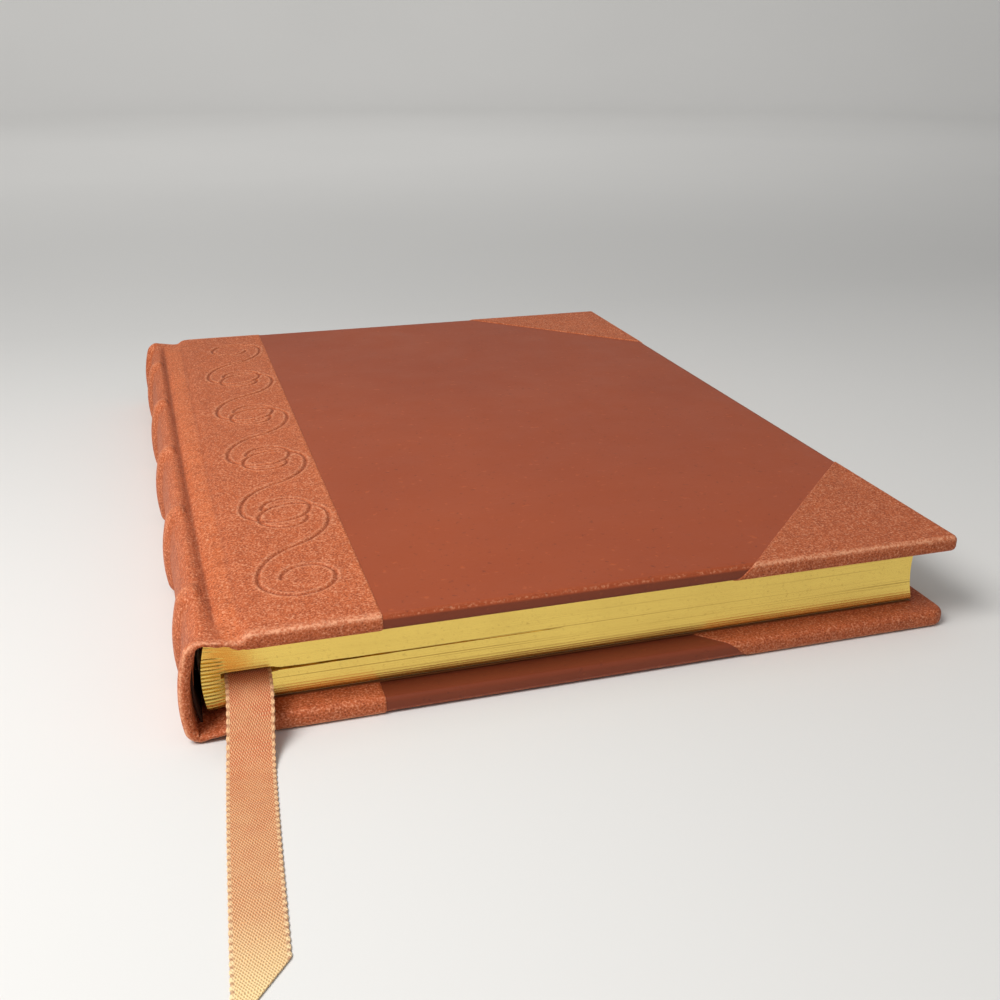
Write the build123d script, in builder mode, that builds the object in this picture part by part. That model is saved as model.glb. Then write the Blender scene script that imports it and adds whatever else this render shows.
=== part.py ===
from build123d import *
import math
import os

# Overall sizes of the closed book
cover_height = 212.0
cover_width = 146.6          # covered board, spine edge to fore-edge
pages_thickness = 12.6
end_square = 6.0             # cover overhang beyond the pages at head and tail
fore_square = 5.2            # the same at the fore-edge
back_reach = 6.7             # crown of the rounded page back beyond the board edge

# Sheet thicknesses
board_thickness = 2.2
leather = 0.7
spine_skin = 0.8             # leather on the spine and in the joints
endpaper = 0.2
lining_thickness = 0.3
stiffener_thickness = 0.5
tube_wall = 0.3

# Clearances
cover_gap = 0.1              # pastedown to flyleaf, so that a cover can swing
split_gap = 0.3              # between spine leather and cover leather at the hinge
fit_gap = 0.05               # between pieces that are glued or slid together
hinge_rise = 0.1             # hinge line above the outer face of the cover

# Covers
turn_in = 15.0
flap_width = 25.7            # spine leather lying on the board
corner_leg = 47.7
corner_radius = 2.8
edge_radius = 1.2
bevel_width = 2.3
joint_drop = 1.9             # depth of the joint below the outer face of the cover
ramp_width = 3.9

# Spine
spine_reach = 9.45           # crown of the spine between the bands, beyond the board edge
spine_drop = 0.6             # spine top below the outer face of the cover
crown_radius = 32.0
shoulder_radius = 2.4
valley_inner = 4.6           # joint valley to board edge
shoulder_start = 5.9
shoulder_level = 0.1         # least level stretch between the crown's bend and the ramp to the joint
hinge_inset = 2.2            # hinge line to board edge
shoulder_lap = 2.6           # stiffener and turn-ins stop this far from top and bottom
fold_width = 0.8
back_rounding = 1.1
fore_hollow = 0.8
lining_margin = 5.0
lining_lap = 0.5
tube_margin = 18.0
tube_inset = 5.0

# Raised bands and the caps at head and tail
band_count = 5
band_pitch = 41.0
band_middle = -1.7           # middle band from the middle of the spine
band_height = 1.45
band_width = 5.0
band_slope = 1.3             # sloped flank on each side of a band
band_lift = 0.3              # rise of a band over the shoulder
band_shoulder_radius = 3.0
cap_height = 1.5
cap_width = 2.4
cap_slope = 1.4
band_end = 5.6
core_end = 6.8

# Ribbon marker
ribbon_width = 8.4
ribbon_thickness = 0.35
ribbon_x = 1.7               # ribbon middle from the board edge
ribbon_drop = 7.2            # way forward while the ribbon falls to the table
ribbon_reach = 67.0          # from the tail of the covers to the tip
ribbon_head_end = 10.0       # passage stops this far from the head of the pages
ribbon_clear = 0.2           # corner of the ribbon's turn inside the edge of the cover
ribbon_lift = 0.05
ribbon_cut = 11.4            # length of the slanted cut
bend_share = 0.45            # part of the falling run that each bend takes

# Tooled scroll
scroll_line = 0.8
scroll_depth = 0.25
scroll_count = 5
scroll_pitch = 35.5
scroll_reach = 15.0          # middle of a scroll to the middle of its end curls
scroll_swing = 9.0           # widest reach to either side of the middle line
scroll_middle = 14.7         # middle line from the board edge
curl_turns = [7.4, 5.2]      # radii of the half turns of a curl

# Derived sizes
cover_thickness = board_thickness + 2 * leather
inside_height = pages_thickness + 4 * endpaper + 2 * cover_gap
total_thickness = 2 * cover_thickness + inside_height
mid_z = total_thickness / 2
half_cover = cover_height / 2
half_page = half_cover - end_square
board_x = -(cover_width - spine_reach - max(band_height, cap_height)) / 2
fore_x = board_x + cover_width
board_top = total_thickness - leather
board_bottom = board_top - board_thickness
inner_z = total_thickness - cover_thickness
pages_top = mid_z + pages_thickness / 2
pages_bottom = mid_z - pages_thickness / 2
page_fore_x = fore_x - fore_square
page_back_x = board_x - back_reach
valley_z = total_thickness - joint_drop
hinge_x = board_x - hinge_inset
hinge_z = total_thickness + hinge_rise
open_reach = 30.0            # how far a spine region runs on past the board edge
mid_plane = Plane.XY.offset(mid_z)


# Region inside the spine at a given depth below its outer face, open to the right
def spine_region(inset, crown=spine_reach, lift=0.0, radius=shoulder_radius):
    top = total_thickness - spine_drop + lift - inset
    low = valley_z - inset
    bend = radius - inset
    sweep = crown_radius + crown - spine_reach - inset
    centre_x = board_x - spine_reach + crown_radius
    reach = math.sqrt((sweep - bend) ** 2 - (top - bend - mid_z) ** 2)
    bend_x = centre_x - reach
    ramp_x = max(board_x - shoulder_start, bend_x + shoulder_level)
    tilt = math.degrees(math.atan2(top - bend - mid_z, reach))
    with BuildSketch(Plane.XZ) as region:
        with BuildLine():
            upper = Polyline(
                (board_x + open_reach, low),
                (board_x - valley_inner, low),
                (ramp_x, top),
                (bend_x, top),
            )
            CenterArc((bend_x, top - bend), bend, 90, 90 - tilt)
            CenterArc((centre_x, mid_z), sweep, 180 - tilt, 2 * tilt)
            CenterArc((bend_x, total_thickness - top + bend), bend, 180 + tilt, 90 - tilt)
            Polyline(
                (bend_x, total_thickness - top),
                (ramp_x, total_thickness - top),
                (board_x - valley_inner, total_thickness - low),
                (board_x + open_reach, total_thickness - low),
                upper @ 0,
            )
        make_face()
    return region.sketch


# Region of the pages, grown outwards over the rounded back
def page_region(grow=0.0):
    left = page_back_x - grow
    corner = page_back_x + back_rounding - grow
    with BuildSketch(Plane.XZ) as region:
        with BuildLine():
            back = ThreePointArc((corner, pages_bottom), (left, mid_z), (corner, pages_top))
            top = Line(back @ 1, (page_fore_x, pages_top))
            fore = ThreePointArc(
                top @ 1, (page_fore_x - fore_hollow, mid_z), (page_fore_x, pages_bottom)
            )
            Line(fore @ 1, back @ 0)
        make_face()
    return region.sketch


# Block of pages with the passage that the ribbon runs in
with BuildPart() as text_block:
    with BuildSketch(Plane.XZ):
        add(page_region())
    extrude(amount=half_page, both=True)
    with BuildSketch(Plane.XZ.offset(half_page)):
        with Locations((board_x + ribbon_x, mid_z)):
            Rectangle(ribbon_width + 4 * fit_gap, ribbon_thickness + 2 * fit_gap)
    extrude(amount=-(2 * half_page - ribbon_head_end), mode=Mode.SUBTRACT)

# Flyleaves on the top and bottom of the pages
with BuildPart() as front_flyleaf:
    with BuildSketch(Plane.XY.offset(pages_top)):
        with Locations((page_back_x + back_rounding, 0)):
            Rectangle(
                page_fore_x - page_back_x - back_rounding, 2 * half_page,
                align=(Align.MIN, Align.CENTER),
            )
    extrude(amount=endpaper)
with BuildPart() as back_flyleaf:
    mirror(front_flyleaf.part, about=mid_plane)

# Lining glued on the rounded back
with BuildPart() as spine_lining:
    with BuildSketch(Plane.XZ):
        add(page_region(lining_thickness))
        add(page_region(), mode=Mode.SUBTRACT)
        with Locations((page_back_x, mid_z)):
            Rectangle(4 * back_rounding, pages_thickness - 2 * lining_lap, mode=Mode.INTERSECT)
    extrude(amount=half_page - lining_margin, both=True)

# Flat paper tube between the lining and the stiffener
with BuildPart() as spine_hollow:
    with BuildSketch(Plane.XZ) as tube_face:
        add(spine_region(spine_skin + stiffener_thickness + 2 * fit_gap))
        add(page_region(lining_thickness + fit_gap), mode=Mode.SUBTRACT)
        with Locations((board_x - spine_reach, mid_z)):
            Rectangle(
                2 * (spine_reach - back_reach + back_rounding),
                total_thickness - 2 * tube_inset,
                mode=Mode.INTERSECT,
            )
        offset(amount=-tube_wall, mode=Mode.SUBTRACT)
    extrude(amount=half_cover - tube_margin, both=True)

# Card stiffener behind the spine leather
with BuildPart() as spine_stiffener:
    with BuildSketch(Plane.XZ):
        add(spine_region(spine_skin + fit_gap))
        add(spine_region(spine_skin + stiffener_thickness), mode=Mode.SUBTRACT)
        with Locations((board_x - spine_reach, mid_z)):
            Rectangle(
                2 * spine_reach - 2 * band_end, total_thickness - 2 * shoulder_lap, mode=Mode.INTERSECT
            )
    extrude(amount=half_cover - cap_width - fold_width - fit_gap, both=True)


# Solid of one raised band at a given place along the spine
def band_solid(place, inset, end):
    with BuildPart() as band:
        with BuildSketch(Plane.XZ.offset(-place)):
            add(spine_region(inset, spine_reach + band_height, band_lift, band_shoulder_radius))
        extrude(amount=band_width / 2 - inset, both=True)
        if inset == 0:
            chamfer(band.edges().filter_by(GeomType.CIRCLE), band_slope)
        with BuildSketch(Plane.XZ.offset(-place)):
            with Locations((board_x - end, mid_z)):
                Rectangle(4 * spine_reach, 2 * total_thickness, align=(Align.MAX, Align.CENTER))
        extrude(amount=band_width, both=True, mode=Mode.INTERSECT)
    return band.part


band_places = []
for number in range(band_count):
    band_places.append(band_middle + band_pitch * (number - (band_count - 1) / 2))

# Band cores glued across the stiffener
cores = []
for place in band_places:
    with BuildPart() as raised_band:
        add(band_solid(place, spine_skin + fit_gap, core_end))
        with BuildSketch(Plane.XZ.offset(-place)):
            add(spine_region(spine_skin - fit_gap))
        extrude(amount=band_width, both=True, mode=Mode.SUBTRACT)
    cores.append(raised_band)

# Solid of the raised cap at the tail (-1) or head (1) of the spine
def cap_solid(side):
    with BuildPart() as cap:
        with BuildSketch(Plane.XZ.offset(-side * half_cover)):
            add(spine_region(0, spine_reach + cap_height, band_lift, band_shoulder_radius))
        extrude(amount=side * cap_width)
        inner = cap.edges().filter_by(GeomType.CIRCLE).group_by(Axis.Y)[0 if side > 0 else -1]
        chamfer(inner, cap_slope)
        with BuildSketch(Plane.XZ.offset(-side * half_cover)):
            with Locations((board_x - band_end, mid_z)):
                Rectangle(4 * spine_reach, 2 * total_thickness, align=(Align.MAX, Align.CENTER))
        extrude(amount=side * cap_width, mode=Mode.INTERSECT)
    return cap.part


# Spine leather over the bands, with its ends turned in over the stiffener
with BuildPart() as spine_leather:
    with BuildSketch(Plane.XZ):
        add(spine_region(0))
        with Locations((hinge_x - split_gap / 2, mid_z)):
            Rectangle(
                4 * spine_reach, 2 * total_thickness,
                align=(Align.MAX, Align.CENTER), mode=Mode.INTERSECT,
            )
    extrude(amount=half_cover, both=True)
    for place in band_places:
        add(band_solid(place, 0, band_end))
    for side in (-1, 1):
        add(cap_solid(side))
    with BuildSketch(Plane.XZ):
        add(spine_region(spine_skin))
    extrude(amount=half_cover, both=True, mode=Mode.SUBTRACT)
    for place in band_places:
        add(band_solid(place, spine_skin, core_end - fit_gap), mode=Mode.SUBTRACT)
    for side in (-1, 1):
        with BuildSketch(Plane.XZ.offset(side * (half_cover - cap_width))):
            add(spine_region(spine_skin))
            add(spine_region(2 * spine_skin + stiffener_thickness), mode=Mode.SUBTRACT)
            with Locations((board_x - spine_reach, mid_z)):
                Rectangle(
                    2 * spine_reach - 2 * band_end,
                    total_thickness - 2 * shoulder_lap + 4 * fit_gap,
                    mode=Mode.INTERSECT,
                )
        extrude(amount=-side * fold_width)
        with BuildSketch(Plane.XZ.offset(side * (half_cover - cap_width))):
            add(spine_region(spine_skin + stiffener_thickness + fit_gap))
            add(spine_region(2 * spine_skin + stiffener_thickness), mode=Mode.SUBTRACT)
            with Locations((board_x - spine_reach, mid_z)):
                Rectangle(
                    2 * spine_reach - 2 * band_end,
                    total_thickness - 2 * shoulder_lap + 4 * fit_gap,
                    mode=Mode.INTERSECT,
                )
        extrude(amount=-side * turn_in)

# Greyboard of the front cover, bevelled along the joint
with BuildPart() as front_board:
    with BuildSketch(Plane.XZ):
        with BuildLine():
            Polyline(
                (board_x, board_bottom),
                (fore_x - leather, board_bottom),
                (fore_x - leather, board_top),
                (board_x + bevel_width, board_top),
                (board_x, board_top - bevel_width * joint_drop / ramp_width),
                close=True,
            )
        make_face()
    extrude(amount=half_cover - leather, both=True)
    fillet(front_board.edges().filter_by(Axis.Z).group_by(Axis.X)[-1], corner_radius - leather)

# Whole leather cover of the front board, cut into its pieces below
with BuildPart() as front_skin:
    with BuildSketch(Plane.XZ):
        with BuildLine():
            Polyline(
                (hinge_x + split_gap / 2, valley_z - spine_skin),
                (hinge_x + split_gap / 2, valley_z),
                (board_x + bevel_width - ramp_width, valley_z),
                (board_x + bevel_width, total_thickness),
                (fore_x, total_thickness),
                (fore_x, inner_z),
                (board_x, inner_z),
                (board_x, board_top - bevel_width * joint_drop / ramp_width),
                (board_x + bevel_width - ramp_width, valley_z - spine_skin),
                close=True,
            )
        make_face()
    extrude(amount=half_cover, both=True)
    fillet(front_skin.edges().filter_by(Axis.Z).group_by(Axis.X)[-1], corner_radius)
    fillet(front_skin.faces().sort_by(Axis.Z)[-1].edges().group_by(Axis.X)[1:], edge_radius)
    add(front_board.part, mode=Mode.SUBTRACT)
    with BuildSketch(Plane.XY.offset(inner_z)):
        with Locations((board_x, 0)):
            Rectangle(cover_width - turn_in, cover_height - 2 * turn_in, align=(Align.MIN, Align.CENTER))
    extrude(amount=leather, mode=Mode.SUBTRACT)


# Region of one corner piece: a triangle outside, flaring strips on the turn-ins
def corner_region(side):
    edge_y = side * half_cover
    with BuildPart() as region:
        with BuildSketch(Plane.XY.offset(board_bottom)):
            with BuildLine():
                Polyline(
                    (fore_x - corner_leg, edge_y),
                    (fore_x, edge_y - side * corner_leg),
                    (fore_x + leather, edge_y - side * corner_leg),
                    (fore_x + leather, edge_y + side * leather),
                    (fore_x - corner_leg, edge_y + side * leather),
                    close=True,
                )
            make_face()
        extrude(amount=cover_thickness)
        with BuildSketch(Plane.XY.offset(board_bottom)):
            with BuildLine():
                Polyline(
                    (fore_x - corner_leg, edge_y),
                    (fore_x - corner_leg - turn_in, edge_y - side * turn_in),
                    (fore_x - turn_in, edge_y - side * turn_in),
                    (fore_x - turn_in, edge_y - side * (corner_leg + turn_in)),
                    (fore_x, edge_y - side * corner_leg),
                    (fore_x + leather, edge_y - side * corner_leg),
                    (fore_x + leather, edge_y + side * leather),
                    (fore_x - corner_leg, edge_y + side * leather),
                    close=True,
                )
            make_face()
        extrude(amount=-2 * leather)
    return region.part


with BuildPart() as front_flap:
    add(front_skin.part)
    with BuildSketch(mid_plane):
        with Locations((board_x + flap_width, 0)):
            Rectangle(2 * flap_width, 2 * cover_height, align=(Align.MAX, Align.CENTER))
    extrude(amount=total_thickness, mode=Mode.INTERSECT)
with BuildPart() as front_tail_corner:
    add(front_skin.part)
    add(corner_region(-1), mode=Mode.INTERSECT)
with BuildPart() as front_head_corner:
    add(front_skin.part)
    add(corner_region(1), mode=Mode.INTERSECT)
with BuildPart() as front_side:
    add(front_skin.part)
    add(corner_region(-1), mode=Mode.SUBTRACT)
    add(corner_region(1), mode=Mode.SUBTRACT)
    with BuildSketch(mid_plane):
        with Locations((board_x + flap_width, 0)):
            Rectangle(2 * cover_width, 2 * cover_height, align=(Align.MIN, Align.CENTER))
    extrude(amount=total_thickness, mode=Mode.INTERSECT)

# Pastedown with the card that fills the board level with the turn-ins
with BuildPart() as front_pastedown:
    with BuildSketch(Plane.XY.offset(inner_z)):
        with Locations((board_x, 0)):
            Rectangle(cover_width - turn_in, cover_height - 2 * turn_in, align=(Align.MIN, Align.CENTER))
    extrude(amount=leather)
    with BuildSketch(Plane.XY.offset(inner_z)):
        with Locations((board_x, 0)):
            Rectangle(cover_width - fore_square, 2 * half_page, align=(Align.MIN, Align.CENTER))
    extrude(amount=-endpaper)

# Back cover, the front cover turned over
with BuildPart() as back_board:
    mirror(front_board.part, about=mid_plane)
with BuildPart() as back_flap:
    mirror(front_flap.part, about=mid_plane)
with BuildPart() as back_side:
    mirror(front_side.part, about=mid_plane)
with BuildPart() as back_tail_corner:
    mirror(front_tail_corner.part, about=mid_plane)
with BuildPart() as back_head_corner:
    mirror(front_head_corner.part, about=mid_plane)
with BuildPart() as back_pastedown:
    mirror(front_pastedown.part, about=mid_plane)

# Chain of S-shaped scrolls pressed into the front flap
scroll_x = board_x + scroll_middle
with BuildPart() as front_spine_flap:
    add(front_flap.part)
    with BuildSketch(Plane.XY.offset(total_thickness)):
        for number in range(scroll_count):
            middle_y = scroll_pitch * (number - (scroll_count - 1) / 2)
            for end in (-1, 1):
                curl_y = middle_y + end * scroll_reach
                with BuildLine():
                    here = scroll_x + end * scroll_swing
                    TangentArc((here, curl_y), (scroll_x, middle_y), tangent=(0, -end))
                    way = end
                    for turn_radius in curl_turns:
                        there = here - way * 2 * turn_radius
                        top = curl_y + way * turn_radius
                        ThreePointArc((here, curl_y), ((here + there) / 2, top), (there, curl_y))
                        here = there
                        way = -way
                trace(line_width=scroll_line)
    extrude(amount=-scroll_depth, mode=Mode.SUBTRACT)

# Ribbon marker: straight in the pages, down over the tail, flat on the table
mouth = (ribbon_clear - half_cover, mid_z)
landing = (mouth[0] - ribbon_drop, ribbon_thickness / 2 + ribbon_lift)
tip = (-half_cover - ribbon_reach, landing[1])
fall = math.hypot(landing[0] - mouth[0], landing[1] - mouth[1])
turn = math.atan2(mouth[1] - landing[1], mouth[0] - landing[0])
bend_radius = bend_share * fall / math.tan(turn / 2)
print("ribbon bend radius", round(bend_radius, 2))
with BuildPart() as ribbon_marker:
    with BuildSketch(Plane.YZ.offset(board_x + ribbon_x)):
        with BuildLine():
            route = FilletPolyline(
                (half_page - ribbon_head_end - ribbon_thickness, mid_z), mouth, landing, tip,
                radius=bend_radius,
            )
            offset(route, amount=ribbon_thickness / 2)
        make_face()
    extrude(amount=ribbon_width / 2, both=True)
    with BuildSketch(Plane.XY):
        with BuildLine():
            Polyline(
                (board_x + ribbon_x - ribbon_width, tip[0] - ribbon_cut / 2),
                (board_x + ribbon_x - ribbon_width / 2, tip[0]),
                (board_x + ribbon_x + ribbon_width / 2, tip[0] + ribbon_cut),
                (board_x + ribbon_x + ribbon_width, tip[0] + ribbon_cut),
                (board_x + ribbon_x + ribbon_width, tip[0] - ribbon_cut / 2),
                close=True,
            )
        make_face()
    extrude(amount=2 * ribbon_thickness, mode=Mode.SUBTRACT)

# Export
pieces = {
    "text_block": text_block,
    "front_flyleaf": front_flyleaf,
    "back_flyleaf": back_flyleaf,
    "spine_lining": spine_lining,
    "spine_hollow": spine_hollow,
    "spine_stiffener": spine_stiffener,
    "spine_leather": spine_leather,
    "front_board": front_board,
    "front_spine_flap": front_spine_flap,
    "front_side": front_side,
    "front_tail_corner": front_tail_corner,
    "front_head_corner": front_head_corner,
    "front_pastedown": front_pastedown,
    "back_board": back_board,
    "back_spine_flap": back_flap,
    "back_side": back_side,
    "back_tail_corner": back_tail_corner,
    "back_head_corner": back_head_corner,
    "back_pastedown": back_pastedown,
    "ribbon_marker": ribbon_marker,
}
for number in range(band_count):
    pieces["raised_band_" + str(number + 1)] = cores[number]
os.makedirs("parts", exist_ok=True)
for name, piece in pieces.items():
    piece.part.label = name
    export_step(piece.part, "parts/" + name + ".step")
    size = piece.part.bounding_box()
    print(name, len(piece.part.solids()), round(piece.part.volume, 1), size.min, size.max)
print("hinge", hinge_x, hinge_z, total_thickness)
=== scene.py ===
"""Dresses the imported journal: moulded spine, tooled flap, sides, corners, gilt pages, endpapers and ribbon."""
import math

import bmesh
import bpy
import numpy as np
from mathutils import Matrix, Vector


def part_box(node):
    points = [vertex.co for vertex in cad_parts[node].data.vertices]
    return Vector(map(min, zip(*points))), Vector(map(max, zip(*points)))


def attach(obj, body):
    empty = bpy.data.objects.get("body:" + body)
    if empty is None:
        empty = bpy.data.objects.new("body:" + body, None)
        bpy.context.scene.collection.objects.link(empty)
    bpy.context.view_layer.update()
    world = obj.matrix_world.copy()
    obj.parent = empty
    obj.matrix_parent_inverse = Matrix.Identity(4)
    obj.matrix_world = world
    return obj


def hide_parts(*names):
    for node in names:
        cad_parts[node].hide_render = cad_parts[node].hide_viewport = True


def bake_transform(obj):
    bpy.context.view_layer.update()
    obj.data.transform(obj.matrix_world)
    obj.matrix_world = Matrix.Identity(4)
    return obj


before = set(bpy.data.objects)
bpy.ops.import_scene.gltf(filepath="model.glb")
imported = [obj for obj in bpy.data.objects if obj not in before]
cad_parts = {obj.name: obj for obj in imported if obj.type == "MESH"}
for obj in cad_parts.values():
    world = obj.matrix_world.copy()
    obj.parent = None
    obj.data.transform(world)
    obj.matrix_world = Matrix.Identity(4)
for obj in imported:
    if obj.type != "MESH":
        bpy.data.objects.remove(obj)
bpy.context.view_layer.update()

bl_info = {
    "name": "Leather Journal",
    "version": (1, 0, 0),
    "blender": (4, 5, 0),
    "location": "View3D > Sidebar > Journal",
    "description": "Builds the dressed surfaces and finishes of a half-leather journal",
    "category": "Add Mesh",
}

MM = 0.001
QUARTER = math.pi / 2


def node_box(name):
    """Lowest and highest corner of a CAD node, in millimetres."""
    low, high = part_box(name)
    return np.array(low, float) / MM, np.array(high, float) / MM


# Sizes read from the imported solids, in millimetres
SIDE_LOW, SIDE_HIGH = node_box("front_side")
FLAP_X, FORE_X = SIDE_LOW[0], SIDE_HIGH[0]
HALF_Y, TOP = SIDE_HIGH[1], SIDE_HIGH[2]
COVER = TOP - SIDE_LOW[2]
MID_Z = TOP / 2
BOARD_X = node_box("front_board")[0][0]
PAGE_LOW, PAGE_HIGH = node_box("text_block")
PAGE_THICK = PAGE_HIGH[2] - PAGE_LOW[2]
LEAF_X = node_box("front_flyleaf")[0][0]
CAP_X = node_box("spine_leather")[0][0]
BANDS = [sum(node_box(f"raised_band_{n}"))[1] / 2 for n in range(1, 6)]


def length(name, about, default, **extra):
    """Float property, a length in millimetres unless extra names another kind."""
    return bpy.props.FloatProperty(name=name, description=about, default=default, **extra)


def tint(name, about, screen):
    """Colour property. Its default is a screen colour, 0 to 255, turned into the linear one that a shader takes."""
    c = np.array(screen) / 255
    plain = np.where(c <= 0.04045, c / 12.92, ((c + 0.055) / 1.055) ** 2.4).tolist()
    return bpy.props.FloatVectorProperty(
        name=name, description=about, default=plain, size=3, subtype="COLOR", min=0, max=1
    )


class JournalSizes(bpy.types.PropertyGroup):
    """Sizes of the dressed surfaces, in millimetres."""

    crown_radius: length("Crown radius", "Radius of the rounded spine at its caps", 33.5)
    shoulder_radius: length("Shoulder radius", "Radius where the spine turns into the joint", 3.0)
    panel_drop: length("Panel drop", "Depth of the spine between bands, below the caps at head and tail", 1.56)
    band_height: length("Band height", "Rise of a raised band over the spine", 1.48)
    band_width: length("Band width", "Half width of a band at its foot", 2.5)
    spine_lean: length("Spine lean", "Sideways lean of the spine for each millimetre of height", 0.07)
    spine_skew: length("Spine skew", "How far the spine stands out at the head more than at the tail", 1.55)
    edge_radius: length("Edge radius", "Rounding of the leather over a board edge", 1.25)
    front_corner: length("Front corner radius", "Rounding of a front board corner seen from above", 1.3)
    back_corner: length("Back corner radius", "Rounding of a back board corner seen from above", 3.2)
    corner_leg: length("Corner leg", "Length of a corner piece along each edge", 47.7)
    lap_height: length("Lap height", "Rise of the tan leather over the brown leather", 0.22)
    groove_depth: length("Groove depth", "Depth of the tooled line", 0.3)
    groove_width: length("Groove width", "Half width of the tooled line", 0.34)
    ribbon_width: length("Ribbon width", "Width of the ribbon marker", 8.4)
    ribbon_cut: length("Ribbon cut", "Length of the slanted cut at the ribbon's end", 11.4)
    page_flare: length("Page flare", "Swell of the pages at the spine, above and below", 1.1)


class JournalFinish(bpy.types.PropertyGroup):
    """Colours of the journal's materials."""

    tan: tint("Tan leather", "Middle tone of the spine and corner leather", (192, 96, 52))
    # pale speckle of the leather, and painted highlights on worn crests and glints on the side leather
    tan_pale_and_highlight: tint("Tan bloom", "Pale speckle and worn edges of the tan leather", (240, 170, 130))
    # also the painted shade in creases and tooled grooves
    tan_deep: tint("Tan depth", "Darker mottling of the tan leather", (124, 52, 28))
    # painted light on the orange strip in the joint, and a brighter orange band along the flap's cut edge
    tan_lit: tint("Joint strip", "Brighter orange of the leather in the joint", (226, 120, 64))
    brown: tint("Brown leather", "Middle tone of the side leather", (160, 75, 42))
    brown_deep: tint("Brown depth", "Darker clouding of the side leather", (154, 71, 40))
    # painted shade on the edge walls, and the pits of the side leather
    brown_shade_and_pits: tint("Brown edge", "Walls and pits of the side leather", (92, 46, 34))
    gilt: tint("Gilding", "Gold on the page edges", (254, 220, 114))
    gilt_deep: tint("Gilding shade", "Gaps between the leaves", (142, 104, 36))
    paper: tint("Endpaper", "Cream of the endpapers", (226, 214, 186))
    # painted shade along the edges of the paper on the boards
    rim: tint("Paper rim", "Darkened edges of the paper on the boards", (128, 76, 42))
    ribbon: tint("Ribbon", "Bright threads of the satin ribbon", (206, 104, 58))
    # painted sheen towards the ribbon's end, and its pale clouds
    ribbon_pale_and_sheen: tint("Ribbon end", "Bright threads at the ribbon's pale end", (255, 222, 158))
    selvedge: tint("Selvedge", "Looped edges of the ribbon", (255, 226, 172))
    card: tint("Card", "Boards and lining", (150, 134, 110))
    # painted shade: dark enough that the stiffener reads as shadow where it shows at the tail
    spine_card: tint("Spine card", "Stiffener and cores of the bands", (58, 32, 20))
    floor: tint("Floor", "Plain pale floor", (226, 224, 220))


class JournalStage(bpy.types.PropertyGroup):
    """Where the camera stands and how it looks."""

    place: bpy.props.FloatVectorProperty(
        name="Place", description="Where the camera stands", default=(-0.07531, -0.2891, 0.1189),
        size=3, subtype="TRANSLATION", unit="LENGTH",
    )
    tilt: length("Tilt", "How far the camera looks down", math.radians(22.3), subtype="ANGLE")
    heading: length("Heading", "How far it is turned from +Y to +X", math.radians(16.71), subtype="ANGLE")
    lens: length("Lens", "Focal length on a 36 mm sensor", 42.0, subtype="DISTANCE_CAMERA")


def sizes():
    """The journal's sizes as set in the scene."""
    return bpy.context.scene.journal_sizes


def finish():
    """The journal's colours as set in the scene."""
    return bpy.context.scene.journal_finish


# Shared shapes


def ease(x):
    """Smooth step from 0 to 1: 3 x squared minus 2 x cubed, held at both ends."""
    x = np.clip(x, 0, 1)
    return x * x * (3 - 2 * x)


def hump(x, width, power=2):
    """Bell of height 1 at 0: e to the power of minus (x / width) to that power."""
    return np.exp(-((x / width) ** power))


def between(a, b, share):
    """a going to b by share."""
    return a * (1 - share) + b * share


def table(x, pairs):
    """Straight lines between pairs of place and value, held at both ends."""
    return np.interp(x, *np.transpose(pairs))


def sheet(x, y, z):
    """Grid of points from three arrays spread to one shape."""
    return np.stack(np.broadcast_arrays(x, y, z), -1)


def both_ends(end, middle, sign=1):
    """Rows of a sheet that is rolled over at tail and head: end backwards, middle, end."""
    return np.concatenate([sign * end[::-1], middle, end])


def unit(vectors):
    """The same directions, with length 1."""
    return vectors / np.linalg.norm(vectors, axis=-1)[..., None]


def run_along(points):
    """Distance along a line of points."""
    return np.concatenate([[0], np.cumsum(np.linalg.norm(np.diff(points, axis=0), axis=1))])


def at_run(where, run, points):
    """Places at those distances along a line of points."""
    return np.stack([np.interp(where, run, column) for column in points.T], -1)


def sampled(points, count, blur, fine_count=1200):
    """A line through the points at even spacing, its corners rounded by a Gaussian of the given width."""
    run = run_along(points)
    fine = np.linspace(0, run[-1], fine_count)
    line = at_run(fine, run, points)
    reach = int(3 * blur / fine[1]) + 1
    kernel = np.exp(-0.5 * (np.arange(-reach, reach + 1) * fine[1] / blur) ** 2)
    kernel /= kernel.sum()
    padded = np.concatenate([2 * line[0] - line[reach:0:-1], line, 2 * line[-1] - line[-2:-reach - 2:-1]])
    smooth = np.stack([np.convolve(column, kernel, "valid") for column in padded.T], 1)
    run = run_along(smooth)
    return at_run(np.linspace(0, run[-1], count), run, smooth)


def side_of(line):
    """Unit normals on the left of a line of points, from its central differences."""
    way = unit(np.gradient(line, axis=0))
    return np.stack([-way[:, 1], way[:, 0]], 1)


def edge_roll(turn_in=9.0):
    """The way round a rolled edge, row by row: angle turned, share of the wall passed, depth of the turn-in. A
    quarter turn, a straight wall, a quarter turn, then the turn-in."""
    turn = np.linspace(0, QUARTER, 8)[1:]
    wall = np.linspace(0, 1, 4)[1:]
    tuck = np.linspace(0, turn_in, 6)[1:]
    turned = np.concatenate([turn, QUARTER + 0 * wall, QUARTER + turn, math.pi + 0 * tuck])
    down = np.concatenate([0 * turn, wall, 1 + 0 * turn, 1 + 0 * tuck])
    return turned, down, np.concatenate([0 * turn, 0 * wall, 0 * turn, tuck])


TURNED, DOWN, TUCK = edge_roll()
DROP, BACK = 1 - np.cos(TURNED), 1 - np.sin(TURNED)  # radii below the face, and in from the outline
LEAN = DROP * QUARTER  # direction in which a lapped edge stands off the roll
CREST_WEAR_AND_HIGHLIGHT = hump(DROP - 0.3, 0.3)  # worn line and painted highlight along the crest of the roll


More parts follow.
